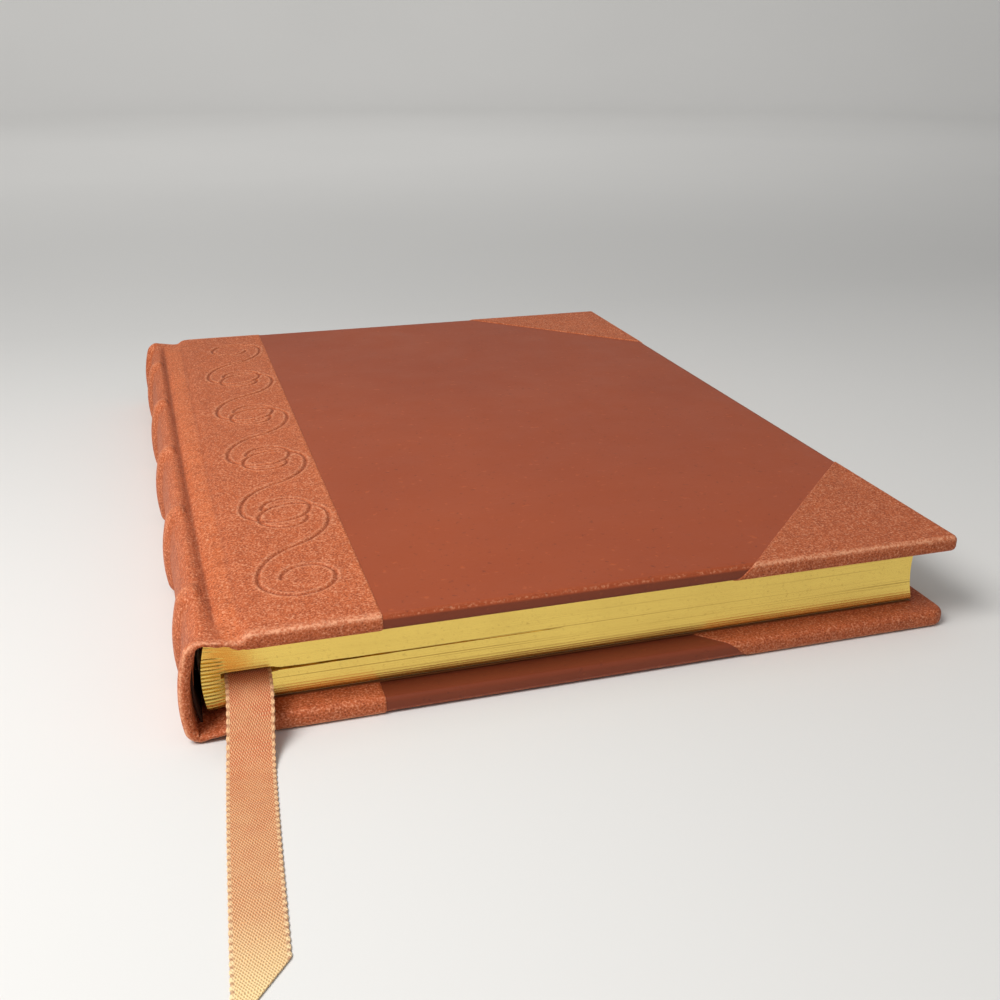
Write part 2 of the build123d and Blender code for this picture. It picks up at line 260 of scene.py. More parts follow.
def depths(radius, wall):
    """Depth below the face at each row of a rolled edge with that radius, on a wall of that height."""
    return np.multiply.outer(DROP, radius) + np.multiply.outer(DOWN, wall - 2 * radius)


def wave(x, y, z):
    """Slow unevenness of hand-laid leather: a mean of three sines less 1, so that it only sinks."""
    rows = np.sin(0.061 * x + 0.043 * y + 0.7), np.sin(0.105 * y - 0.052 * x + 2.1), np.sin(0.17 * z + 0.083 * y)
    return sum(rows) / 3 - 1


WELD, SLIVER = 2e-6, 1e-6  # points this near are merged, edges this short dissolved, in metres
SHARP = math.radians(50)


def piece(name, grids, flip=False, merge=False, **fields):
    """One mesh object from (rows, columns, 3) grids in millimetres, each a sheet of quads. fields are values for
    each grid, kept as point attributes. The place at rest is kept as an attribute too."""
    corners, quads, kept = [], [], {key: [] for key in fields}
    first = 0
    for number, (grid, turned) in enumerate(zip(grids, np.broadcast_to(flip, len(grids)))):
        rows, columns = grid.shape[:2]
        index = np.arange(rows * columns).reshape(rows, columns) + first
        face = np.stack([index[:-1, :-1], index[1:, :-1], index[1:, 1:], index[:-1, 1:]], -1).reshape(-1, 4)
        quads.append(face[:, ::-1] if turned else face)
        corners.append(grid.reshape(-1, 3))
        for key, value in fields.items():
            kept[key].append(np.broadcast_to(value[number], (rows, columns)).ravel())
        first += rows * columns
    mesh = bpy.data.meshes.new(name)
    mesh.from_pydata((np.concatenate(corners) * MM).tolist(), [], np.concatenate(quads).tolist())
    for key, value in kept.items():
        value = np.concatenate(value).astype(np.float32)
        mesh.attributes.new(key, "FLOAT", "POINT").data.foreach_set("value", value)
    if merge:
        work = bmesh.new()
        work.from_mesh(mesh)
        bmesh.ops.remove_doubles(work, verts=work.verts, dist=WELD)
        bmesh.ops.dissolve_degenerate(work, edges=work.edges, dist=SLIVER)
        work.to_mesh(mesh)
        work.free()
    mesh.polygons.foreach_set("use_smooth", np.ones(len(mesh.polygons), bool))
    mesh.set_sharp_from_angle(angle=SHARP)
    mesh.attributes.new("rest_place", "FLOAT_VECTOR", "POINT").data.foreach_set("vector", places(mesh).ravel())
    mesh.update()
    made = bpy.data.objects.new(name, mesh)
    bpy.context.scene.collection.objects.link(made)
    return made


def places(mesh):
    """Places of a mesh's points, in metres."""
    place = np.empty(len(mesh.vertices) * 3, np.float32)
    mesh.vertices.foreach_get("co", place)
    return place.reshape(-1, 3)


def turned_over(grid):
    """The same sheet for the back cover: heights taken from the other face of the book."""
    return sheet(grid[..., 0], grid[..., 1], TOP - grid[..., 2])


def coat(made, material):
    """Gives an object that material and no other."""
    made.data.materials.clear()
    made.data.materials.append(material)


def dress(made, material):
    """Gives a piece its material."""
    coat(made, material)


def seat(made, material, body, node):
    """Dresses a piece that rides one body in place of one CAD node."""
    dress(made, material)
    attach(made, body)
    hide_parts(node)


def cover_piece(side, name, grid, flip=False, merge=False, **fields):
    """A piece from one sheet worked out for the front cover; the back cover's is turned over."""
    front = side == "front"
    fields = {key: [value] for key, value in fields.items()}
    return piece(name, [grid if front else turned_over(grid)], flip=front != flip, merge=merge, **fields)


# Leather over the spine and the boards. Tables give millimetres past the board edge and a value.

SEAM = 3.4  # where the spine piece meets the flap piece, from the board edge
START_X = FLAP_X - 1.5  # the brown leather starts under the flap
LAP_RUN = 0.6  # width over which a lapped edge comes down
LAP_SINK = 0.05  # how far a corner's rim goes below the brown leather's face
HEM_WEAR_AND_HIGHLIGHT, HEM = 0.37, 0.6  # wear and painted highlight beside a rolled edge, and its width
SHOULDER_DROP = {1: 0.55, -1: 0.12}  # shoulder below the cover's face, front and back
LEAN_START, LEAN_RUN = 5.2, 1.6  # the spine's lean begins this far off the board, over this length
JOINT_FADE = 15  # length over which the joint deepens from either end
DEEP_JOINT = (
    (-5.9, -0.75), (-5.2, -1.15), (-4.6, -1.6), (-4.0, -2.1), (-3.7, -1.9), (-2.4, -1.05),
    (-1.0, -0.62), (0.2, -0.5), (1.1, -0.4), (1.9, -0.1), (2.7, 0), (SEAM, 0),
)
FLAT_JOINT = (
    (-5.9, -0.68), (-5.2, -0.78), (-4.6, -0.84), (-4.05, -0.9), (-3.5, -0.97), (-2.4, -1.2),
    (-1.0, -1.38), (0.2, -1.36), (1.1, -0.68), (1.9, -0.15), (2.7, 0), (SEAM, 0),
)
# thickness of the rolled edge along the outline: spine lip, thin joint, full board
LIP_WALL = (
    (-8.5, 2.15), (-7.4, 1.5), (-6.4, 1.1), (-5.5, 1.0), (-4, 1.25),
    (-3, 1.45), (-1, 1.85), (0.2, 2.2), (1.1, 3.1), (1.9, COVER),
)
PANEL_SINK = ((-8.8, 1), (-7.4, 0.72), (-6.2, 0.32), (-5.0, 0))
BAND_RISE = {
    1: ((-10.4, 1), (-8.8, 1.05), (-7.4, 0.98), (-6.2, 0.7), (-4.8, 0)),
    -1: ((-10.4, 1), (-8.8, 1.03), (-7.4, 0.76), (-6.2, 0.34), (-4.8, 0)),
}
JOINT_BOW = ((-106, 0.5), (-90, 0.4), (-60, 0.05), (0, -0.2), (60, -0.35), (106, -0.6))  # by place along the book
FLAP_LEVEL = 0.5  # the flap is level up to this far from its cut edge, then follows these pairs of run and fall
FLAP_LIP = ((0.15, 0.02), (0.3, 0.06), (0.42, 0.13), (0.5, 0.24), (0.52, 0.36))
CORE_DEPTH, CORE_HEIGHT, CORE_WIDTH = 1.35, 0.5, 1.5  # a band's core: middle below the face, and half its section
SCROLL = {"count": 5, "pitch": 35.5, "reach": 15.0, "swing": 9.0, "middle": 14.7, "curls": (7.4, 5.2)}
TAIL_PAINTED_SHADE = 0.3  # painted shade on the tail corners, where the light falls off


def spine_line(lean, joint=DEEP_JOINT, count=150):
    """Half the spine's outline at its cap, from the crown over the shoulder and joint to the board, as (x, z). lean
    is 1 for the front half and -1 for the back half."""
    s = sizes()
    radius, crown_radius = s.shoulder_radius, s.crown_radius
    centre, level = CAP_X + crown_radius, TOP - SHOULDER_DROP[lean] - radius
    reach = math.sqrt((crown_radius - radius) ** 2 - (level - MID_Z) ** 2)
    tilt = math.atan2(level - MID_Z, reach)
    sweep, bend = np.linspace(0, tilt, 40), np.linspace(tilt, QUARTER, 24)[1:]
    crown = np.stack([centre - crown_radius * np.cos(sweep), MID_Z + crown_radius * np.sin(sweep)], 1)
    shoulder = np.stack([centre - reach - radius * np.cos(bend), level + radius * np.sin(bend)], 1)
    line = np.concatenate([crown, shoulder, np.array(joint) + [BOARD_X, TOP]])
    far = ease((BOARD_X - LEAN_START - line[:, 0]) / LEAN_RUN)
    line[:, 0] += lean * s.spine_lean * (line[:, 1] - MID_Z) * far
    return sampled(line, count, 0.25)


def spine_sheet(lean):
    """Front half (lean 1) or back half (-1) of the spine leather. Along the book the outline slides from the shallow
    joint of the ends to the deep one of the middle; it sinks behind the caps, five bands swell it outwards again,
    and both ends roll over and turn in."""
    s = sizes()
    deep, flat = spine_line(lean), spine_line(lean, FLAT_JOINT)
    over = deep[:, 0] - BOARD_X
    wall = table(over, LIP_WALL)
    roll = np.minimum(s.edge_radius, wall / 2)
    outer = np.linspace(-1, 1, 420)
    low = -both_ends(depths(roll, wall), np.zeros((len(outer), len(over))))
    inset = np.multiply.outer(BACK, roll) + TUCK[:, None]
    y = both_ends(HALF_Y - inset, np.multiply.outer(outer, HALF_Y - roll), -1)
    to_end = HALF_Y - np.abs(y)
    on_top = both_ends(0 * DROP, 1 + 0 * outer)[:, None]
    tuck = both_ends(TUCK, 0 * outer)[:, None]
    valley = on_top * ease(to_end / JOINT_FADE)
    line = between(flat, deep, valley[..., None])
    x, z = line[..., 0], line[..., 1]
    swell = table(over, PANEL_SINK)
    away = np.abs(y[..., None] - np.array(BANDS)).min(-1)
    band = s.band_height * hump(away, s.band_width, 3) * table(over, BAND_RISE[lean])
    sink = -s.panel_drop * ease((to_end - 1.5) / 2.0) * swell
    hand = 0.06 * wave(x, y, z) * np.clip((3.0 - over) / 3, 0, 1) * ease(to_end / 6)
    out = low + on_top * (band + sink + hand) - 0.9 * ease((tuck - 1.2) / 4) * swell
    normal = side_of(deep)
    skew = s.spine_skew * np.sin((y + HALF_Y) / (4 * HALF_Y) * math.pi) * ease((SEAM - over) / 2.2)
    bow = table(y, JOINT_BOW) * hump(over + 3.8, 2)
    # worn edges with a painted highlight on and beside their crest, and a painted highlight on the band tops
    rub = both_ends(CREST_WEAR_AND_HIGHLIGHT, 0 * outer)[:, None] + HEM_WEAR_AND_HIGHLIGHT * on_top * hump(to_end - roll, HEM)
    rub = rub + 0.3 * on_top * np.clip(band / s.band_height, 0, 1) ** 2
    # painted shade in the two creases of the joint
    press = valley * (hump(over + 3.95, 0.35) + 0.3 * hump(over - 1.1, 0.4))
    # painted light on the orange strip in the joint
    warm = on_top * ease((over + 3.9) / 1.4) * ease((1.4 - over) / 1.4)
    grid = sheet(x + normal[:, 0] * out - skew + bow, y, z + normal[:, 1] * out)
    return grid, dict(rub=np.clip(rub, 0, 1), press=np.clip(press, 0, 1), warm=warm)


def band_sheet(halves, place, count=60):
    """Core of the raised band at that place along the book: a cord with an elliptical section and tapered ends that
    follows the moulded leather under its face, from shoulder to shoulder."""
    line = []
    for grid, lean in zip(halves, (1, -1)):
        row = np.argmin(np.abs(grid[:, 0, 1] - place))
        line.append(grid[row, spine_line(lean)[:, 0] - BOARD_X < -7.3][:, [0, 2]])
    path = sampled(np.concatenate([line[0][::-1], line[1][1:]]), count, 0.4)
    inward = side_of(path)
    taper = np.sqrt(1 - np.linspace(-1, 1, count) ** 8)[:, None]
    turn = np.linspace(0, 2 * math.pi, 17)
    deep = CORE_DEPTH + CORE_HEIGHT * taper * np.cos(turn)
    x, z = (path[:, [k]] + inward[:, [k]] * deep for k in (0, 1))
    return sheet(x, place + CORE_WIDTH * taper * np.sin(turn), z)


def arc_gap(x, y, centre, radius, start, sweep):
    """Distance from points to an arc: off its circle inside its angle, else from its nearer end."""
    dx, dy = x - centre[0], y - centre[1]
    angle = np.mod(np.sign(sweep) * (np.arctan2(dy, dx) - start), 2 * math.pi)
    off = np.abs(np.hypot(dx, dy) - radius)
    tip = [np.hypot(dx - radius * math.cos(a), dy - radius * math.sin(a)) for a in (start, start + sweep)]
    return np.where(angle <= abs(sweep), off, np.minimum(*tip))


def scroll_gap(x, y):
    """Distance from points on the flap to the chain of S-shaped scrolls, the same arcs as in the solid."""
    arcs = []
    middle_x = BOARD_X + SCROLL["middle"]
    reach, swing = SCROLL["reach"], SCROLL["swing"]
    offset = (reach * reach - swing * swing) / (2 * swing)
    for number in range(SCROLL["count"]):
        middle_y = SCROLL["pitch"] * (number - (SCROLL["count"] - 1) / 2)
        for end in (-1, 1):
            curl_y = middle_y + end * reach
            turn = 0.0 if end > 0 else math.pi
            arcs.append(((middle_x - end * offset, curl_y), offset + swing, turn, -math.atan2(reach, offset)))
            here, way = middle_x + end * swing, end
            for radius in SCROLL["curls"]:
                there = here - way * 2 * radius
                arcs.append((((here + there) / 2, curl_y), radius, 0.0 if here > there else math.pi, math.pi))
                here, way = there, -way
    return np.min([arc_gap(x, y, *arc) for arc in arcs], axis=0)


def flap_sheet(tooled):
    """Spine leather on a board, from the seam to its cut edge: flat, rolled over head and tail, with a lapped edge
    that comes down to the brown leather. A tooled sheet is pressed in along the scrolls, with raised lips."""
    s = sizes()
    radius, lip = s.edge_radius, 0.1
    cut = FLAP_X - BOARD_X - FLAP_LEVEL
    past, fall = np.transpose(FLAP_LIP)
    across = np.linspace(SEAM, cut, 92 if tooled else 24)
    over = np.concatenate([across, cut + past])
    level = np.concatenate([0 * across, -fall])
    outer = np.linspace(-1, 1, 760 if tooled else 120) * (HALF_Y - radius)
    low = -both_ends(depths(radius, COVER), 0 * outer)[:, None]
    y = both_ends(HALF_Y - BACK * radius - TUCK, outer, -1)[:, None]
    # the cut edge comes down along the inward direction of the rolled edge
    lean = both_ends(LEAN, 0 * outer)[:, None]
    grid = sheet(BOARD_X + over, y + np.sign(y) * np.sin(lean) * level, TOP + low + np.cos(lean) * level)
    on_top = low == 0
    x, y = grid[..., 0], grid[..., 1]
    press = 0 * x
    if tooled:
        gap = scroll_gap(x, y)
        press = lip * hump(gap - 2.1 * s.groove_width, 0.38) - s.groove_depth * hump(gap, s.groove_width)
    grid[..., 2] += on_top * (press + 0.05 * wave(x, y, 0) * ease((x - BOARD_X - SEAM) / 3))
    # worn edges with a painted highlight on and beside their crest, and a painted highlight on the raised lips of the
    # tooling
    rub = both_ends(CREST_WEAR_AND_HIGHLIGHT, 0 * outer)[:, None] + HEM_WEAR_AND_HIGHLIGHT * on_top * hump(HALF_Y - radius - np.abs(y), HEM)
    rub = rub + 0.5 * on_top * np.clip(press / lip, 0, 1)
    # brighter orange band along the flap's cut edge
    warm = 0.5 * on_top * hump(FLAP_X - x - 0.6, 1.4)
    # painted shade in the tooled grooves
    return grid, dict(rub=np.clip(rub, 0, 1), press=np.clip(-press / s.groove_depth, 0, 1), warm=warm)


def edge_runs(radius):
    """Lengths of the tail edge, a quarter turn and the fore-edge of a cover with that corner radius."""
    return FORE_X - radius - START_X, radius * QUARTER, 2 * (HALF_Y - radius)


def outline(run, radius):
    """Place and outward direction along a cover's plan outline, by distance from the tail under the flap: the tail
    edge, a quarter turn, the fore-edge, a quarter turn, the head edge."""
    flat, bend, tall = edge_runs(radius)
    a, b, c, d = np.cumsum([flat, bend, tall, bend])
    angle = (np.clip(run - a, 0, bend) + np.clip(run - c, 0, bend)) / radius - QUARTER
    nx, ny = np.cos(angle), np.sin(angle)
    x = FORE_X - radius + radius * nx + np.minimum(run - a, 0) - np.maximum(run - d, 0)
    y = radius - HALF_Y + radius * ny + np.clip(run - b, 0, tall)
    return x, y, nx, ny


def rolled(run, corner, lift):
    """Sheet round the edge of a cover. run is (rows, columns) of distances along the outline, one row for each step
    of the roll; lift stands it off outwards. Past the corner radius the turn-in is mitred."""
    radius = sizes().edge_radius
    x, y, nx, ny = outline(run, corner)
    setback, lean = (BACK * radius + TUCK)[:, None], LEAN[:, None]
    inward = setback - lift * np.sin(lean)
    x, y = x - nx * inward, y - ny * inward
    mitred = setback > corner
    x = np.where(mitred, np.minimum(x, FORE_X - setback), x)
    y = np.where(mitred, np.clip(y, setback - HALF_Y, HALF_Y - setback), y)
    return sheet(x, y, TOP - depths(radius, COVER)[:, None] + lift * np.cos(lean))


def side_sheet(corner):
    """Brown leather of one cover: a fan of straight rows from under the flap to the outline, then the rolled edge."""
    radius, face = sizes().edge_radius, TOP - sizes().lap_height
    flat, bend, tall = edge_runs(corner)
    share = np.linspace(0, 1, 300)
    run = 2 * (flat + bend) * share + tall * share
    x, y, nx, ny = outline(run, corner)
    rim = sheet(x - nx * radius, y - ny * radius, face)
    spine_side = sheet(START_X, between(radius - HALF_Y, HALF_Y - radius, share), face)
    rows = np.linspace(0, 1, 24)
    grid = np.concatenate([between(spine_side, rim, rows[:, None, None]), rolled(run[None], corner, face - TOP)])
    step = np.concatenate([0 * rows, DROP])[:, None]
    x, y = grid[..., 0], grid[..., 1]
    fade = ease((FORE_X - radius - x) / 8) * ease((HALF_Y - radius - np.abs(y)) / 8)
    grid[..., 2] += (step == 0) * fade * 0.06 * wave(x, y, 0)
    # painted glints along the crest of the edge
    rub = hump(step - 0.35, 0.35) * np.where(step == 0, 0.02, 1)
    # painted shade on the edge walls
    return grid, dict(rub=rub, press=ease((step - 0.45) / 0.6))


def corner_sheet(end, corner):
    """Tan corner piece at the tail (-1) or head (1): straight rows from its slanted cut to the outline, then the
    rolled edge, where the cut runs on straight as on the unfolded leather. Its rim comes down to the brown leather."""
    s = sizes()
    radius, leg, lap = s.edge_radius, s.corner_leg, s.lap_height + LAP_SINK
    flat, bend, _ = edge_runs(corner)
    first, last = FORE_X - leg - START_X + radius, flat + bend + leg - corner - radius
    rim = np.array([0, 0.0015, 0.003, 0.005, 0.008])
    share = np.concatenate([rim, np.linspace(0.012, 0.988, 150), 1 - rim[::-1]])
    gone = (radius * TURNED + DOWN * (COVER - 2 * radius) + TUCK)[:, None]
    run = between(first - gone, last + gone, share)
    beside = np.minimum(run - (first - gone), last + gone - run)
    roll = rolled(run, corner, lap * (ease(beside / LAP_RUN) - 1))
    x, y, nx, ny = outline(between(first, last, share), corner)
    rows = np.concatenate([[0, 0.004, 0.008, 0.012, 0.018], np.linspace(0.03, 1, 60)])[:, None]
    x = between(between(FORE_X - leg + radius, FORE_X - radius, share), x - nx * radius, rows)
    y = between(between(radius - HALF_Y, leg - radius - HALF_Y, share), y - ny * radius, rows)
    off = np.abs(x - (FORE_X - leg) - (y + HALF_Y)) / math.sqrt(2)
    hand = 0.16 * wave(2 * x, 2 * y, 0) * rows * (1 - rows)
    grid = np.concatenate([sheet(x, y, TOP + lap * (ease(off / LAP_RUN) - 1) + hand), roll])
    if end > 0:
        grid = grid * np.array([1, -1, 1])
    # worn crest with a painted highlight
    rub = np.concatenate([0 * rows[:, 0], CREST_WEAR_AND_HIGHLIGHT])[:, None]
    # painted shade on the tail corners
    return grid, dict(rub=rub, press=TAIL_PAINTED_SHADE if end < 0 else 0, warm=0)


# Pages, endpapers and ribbon

SECTIONS = 20
# the slot in the tail beside the ribbon: millimetres from the ribbon's middle, and half height, depth or rise
SLOT_HALF = ((3.9, 0.38), (5.5, 0.17), (30, 0.06), (62, 0.03))
SLOT_DEPTH = ((-4.9, 0), (-4.4, 1.8), (6, 1.5), (30, 0.6), (62, 0))
SLOT_RISE = ((3.9, 0.2), (5.5, 0.08), (62, 0.0))
RIBBON_ROUTE = (
    (1.7, 89.65, 9.4), (1.7, -93.3, 9.4), (1.5, -105.8, 9.4), (0.1, -113.0, 0.25),
    (-0.9, -125.5, 0.25), (-2.25, -145.0, 0.25), (-4.0, -173.0, 0.25),
)
RIBBON_FREE = 110  # length of the ribbon's end that has fine rows
BEAD = 1.5  # length of one loop of the selvedge


def leaf_height(x, leaf):
    """Height of a leaf, 0 at the bottom to 1 at the top: level, and fanned out where the sections swell."""
    flare = ease((BOARD_X + 1.5 - x) / 7.5)
    return MID_Z + (leaf - 0.5) * (PAGE_THICK + 2 * sizes().page_flare * flare)


def section_dent(leaf):
    """1 in a deep fold between two sections, less in a shallow one, 0 on the leaves."""
    at = leaf * SECTIONS + 0.5
    return (0.35 + 0.65 * np.sin(2.3 * np.floor(at)) ** 2) * hump(np.mod(at, 1) - 0.5, 0.1)


def page_sheets():
    """Tail, head, fore-edge, back, bottom and top of the page block as six sheets. Leaves are level, fan out at the
    spine, part a little at the folds of the sections and beside the ribbon; the fore-edge is hollow."""
    leaf = np.linspace(0, 1, 181)[None, :]
    bow = (2 * leaf - 1) ** 2
    back_x = PAGE_LOW[0] + 1.1 * bow + sizes().spine_lean * (leaf - 0.5) * PAGE_THICK
    fore_x = PAGE_HIGH[0] - 0.8 * (1 - bow)
    along = np.concatenate([np.linspace(0, 0.13, 56), np.linspace(0.138, 1, 100)])[:, None]
    x = between(back_x, fore_x, along)
    z = leaf_height(x, leaf)
    ragged = 0.004 * np.sin(leaf * 173 + 3 * np.sin(leaf * 17)) + 0.002 * np.sin(leaf * 401 + 1)
    parted = 0.15 + 0.85 * ease((0.78 - leaf) / 0.2) * ease((leaf - 0.08) / 0.1)
    fold = 0.38 * section_dent(leaf) * ease((BOARD_X - 1.5 - x) / 4) * parted
    ribbon_x, _, ribbon_z = RIBBON_ROUTE[0]
    beside = x - BOARD_X - ribbon_x
    rise = z - ribbon_z - table(beside, SLOT_RISE)
    gap = table(beside, SLOT_DEPTH) * hump(rise, table(beside, SLOT_HALF), 4)
    # the tail leans back a little from its lowest leaves, and the leaves next to the boards are rubbed back
    slope = 0.85 * (leaf - 0.5) + 0.3 * ease((0.04 - leaf) / 0.04)
    tail = sheet(x, PAGE_LOW[1] + 0.3 + ragged + fold + gap + slope, z)
    head = sheet(x, PAGE_HIGH[1] - 0.1 - ragged - fold, z)
    up = np.linspace(0, 1, 120)[:, None]
    uneven = 0.03 * np.sin(leaf * 307 + 2 * up) * np.minimum(1, 30 * up * (1 - up))
    fore = sheet(fore_x + uneven, between(tail[-1, :, 1], head[-1, :, 1], up), leaf_height(fore_x, leaf))
    up = up[::17]
    back = sheet(back_x, between(tail[0, :, 1], head[0, :, 1], up), z[:1])
    lids = [between(tail[:, [k]], head[:, [k]], up.T[..., None]) for k in (0, -1)]
    return [tail, head, fore, back, *lids], [leaf, leaf, leaf, leaf, 0, 1]


def leaf_sheet():
    """Front flyleaf: a sheet just above the top page that follows the swell at the spine."""
    near, far = np.linspace(LEAF_X + 0.2, BOARD_X + 2, 30), np.linspace(BOARD_X + 4, PAGE_HIGH[0] - 0.15, 40)
    x = np.concatenate([near, far])
    y = np.linspace(PAGE_LOW[1] + 0.3, PAGE_HIGH[1] - 0.2, 60)[:, None]
    return sheet(x, y, leaf_height(x, 1.0) + 0.11)


def hinge_paper_sheet():
    """Strip of endpaper over the front joint, from the flyleaf to the pastedown."""
    x = np.linspace(BOARD_X - 5.2, BOARD_X + 1.2, 40)
    y = np.linspace(PAGE_LOW[1] + 1.0, PAGE_HIGH[1] - 0.3, 60)[:, None]
    return sheet(x, y, np.maximum(leaf_height(x, 1.0) + 0.16, PAGE_HIGH[2] + 0.23))


def ribbon_path():
    """Points of the ribbon's middle line, read from a NURBS spline through the route's points, in metres."""
    curve = bpy.data.curves.new("ribbon_route", "CURVE")
    curve.dimensions = "3D"
    curve.resolution_u = 48
    spline = curve.splines.new("NURBS")
    spline.points.add(len(RIBBON_ROUTE) - 1)
    for point, (x, y, z) in zip(spline.points, RIBBON_ROUTE):
        point.co = ((BOARD_X + x) * MM, y * MM, z * MM, 1)
    spline.order_u = 3
    spline.use_endpoint_u = True
    carrier = bpy.data.objects.new("ribbon_route", curve)
    bpy.context.scene.collection.objects.link(carrier)
    bpy.context.view_layer.update()
    mesh = bpy.data.meshes.new_from_object(carrier.evaluated_get(bpy.context.evaluated_depsgraph_get()))
    points = places(mesh).astype(float)
    bpy.data.objects.remove(carrier)
    bpy.data.curves.remove(curve)
    bpy.data.meshes.remove(mesh)
    return points


def ribbon_sheets(points):
    """Top and underside of the ribbon and its two ends: the path carried sideways to either edge, with looped
    selvedges, a shallow crown, and a slanted end where the left edge runs on furthest."""
    s = sizes()
    run = run_along(points)
    total, half = run[-1], s.ribbon_width / 2
    free = total - RIBBON_FREE
    side = both_ends(np.array([0.93, 0.96, 0.985, 1]), np.linspace(-0.9, 0.9, 25), -1)
    rim = np.abs(side)
    row = np.concatenate([np.linspace(0, free, 60), np.linspace(free, total, 420)[1:]])[:, None]
    end = total - s.ribbon_cut * (side + 1) / 2
    along = np.minimum(row, free) + np.clip(row - free, 0, None) * (end - free) / RIBBON_FREE
    place = at_run(along, run, points)
    ahead = unit(at_run(along + 0.5, run, points) - at_run(along - 0.5, run, points))
    flat = unit(sheet(-ahead[..., 1], ahead[..., 0], 0))
    up = np.cross(flat, ahead)
    up *= np.sign(up[..., 2])[..., None]
    loop = np.sin(along * 2 * math.pi / BEAD)
    reach = half * side + np.sign(side) * 0.06 * loop * (rim > 0.97)
    thick = 0.15 * np.sqrt(1 - np.clip((rim - 0.9) / 0.1, 0, 1) ** 2)
    bead = 0.05 * hump(rim - 0.955, 0.03) * (0.6 + 0.4 * loop)
    place = place + flat * reach[..., None]
    top, under = place + up * (thick + bead)[..., None], place - up * thick[..., None]
    sheets = [top, under, np.stack([top[-1], under[-1]]), np.stack([under[0], top[0]])]
    return sheets, [half * side] * 4, [along, along, along[-1], along[0]]


# Finishes


def dimmed(tone, by):
    """A colour made darker."""
    return tuple(by * c for c in tone)


class Wiring:
    """Adds nodes to a material's tree and links them in the order of its calls."""

    def __init__(self, name):
        self.material = bpy.data.materials.new(name)
        self.material.use_nodes = True
        self.tree = self.material.node_tree
        self.surface = self.tree.nodes["Principled BSDF"]

    def add(self, kind, settings=None, **inputs):
        """A node of that kind, its settings set and its inputs given values or links."""
        made = self.tree.nodes.new(kind)
        for key, value in (settings or {}).items():
            setattr(made, key, value)
        self.feed(made, **inputs)
        return made

    def feed(self, made, **inputs):
        """A link where a value is a socket, else the input's own value. An input's number is written as n0, n1."""
        for key, value in inputs.items():
            number = key[1:]
            socket = made.inputs[int(number) if number.isdigit() else key.replace("_", " ")]
            if isinstance(value, bpy.types.NodeSocket):
                self.tree.links.new(value, socket)
            else:
                socket.default_value = (*value, 1) if socket.type == "RGBA" else value

    def field(self, name, output="Fac"):
        """A number that the piece carries at each point."""
        return self.add("ShaderNodeAttribute", {"attribute_name": name}).outputs[output]

    def rest_place(self):
        """Where the point lies on the closed book, so that a pattern doesn't slide when a cover opens."""
        return self.field("rest_place", "Vector")

    def own_place(self):
        """Object coordinates, for what carries no place at rest."""
        return self.add("ShaderNodeTexCoord").outputs["Object"]

    def noise(self, place, scale, detail, rough):
        """Fractal noise, with cells of 1 / scale metres."""
        return self.add("ShaderNodeTexNoise", Vector=place, Scale=scale, Detail=detail, Roughness=rough).outputs["Fac"]

    def sums(self, how, *values, kind="ShaderNodeMath"):
        """Numbers put together by a named operation, or vectors with the kind of node for those."""
        inputs = {f"n{k}": value for k, value in enumerate(values)}
        return self.add(kind, {"operation": how}, **inputs).outputs[0]

    def stretched(self, place, by, start):
        """place multiplied by a vector and added to start."""
        return self.sums("MULTIPLY_ADD", place, by, start, kind="ShaderNodeVectorMath")

    def times(self, a, b):
        """a multiplied by b."""
        return self.sums("MULTIPLY", a, b)

    def plus(self, a, b):
        """a and b added up."""
        return self.sums("ADD", a, b)

    def warped(self, place, scale, reach):
        """place pushed about by up to reach metres of noise, so that cells lose their straight sides."""
        push = self.add("ShaderNodeTexNoise", Vector=place, Scale=scale).outputs["Color"]
        return self.stretched(push, (reach, reach, reach), place)

    def ramp(self, value, low, high, a=0.0, b=1.0):
        """value taken from the range low to high to the range a to b, held at both ends."""
        inputs = dict(Value=value, From_Min=low, From_Max=high, To_Min=a, To_Max=b)
        return self.add("ShaderNodeMapRange", **inputs).outputs["Result"]

    def layers(self, colour, *coats):
        """A colour with coats of (share, colour) laid on it in turn."""
        for share, over in coats:
            colour = self.add("ShaderNodeMix", {"data_type": "RGBA"}, n0=share, n6=colour, n7=over).outputs[2]
        return colour

    def bump(self, height, strength, depth, **before):
        """Bump of that height, with depth in metres, over the Normal before it."""
        return self.add("ShaderNodeBump", Height=height, Strength=strength, Distance=depth, **before).outputs["Normal"]

    def shade(self, **inputs):
        """Sets or links the surface shader's inputs, and returns the material."""
        self.feed(self.surface, **inputs)
        return self.material


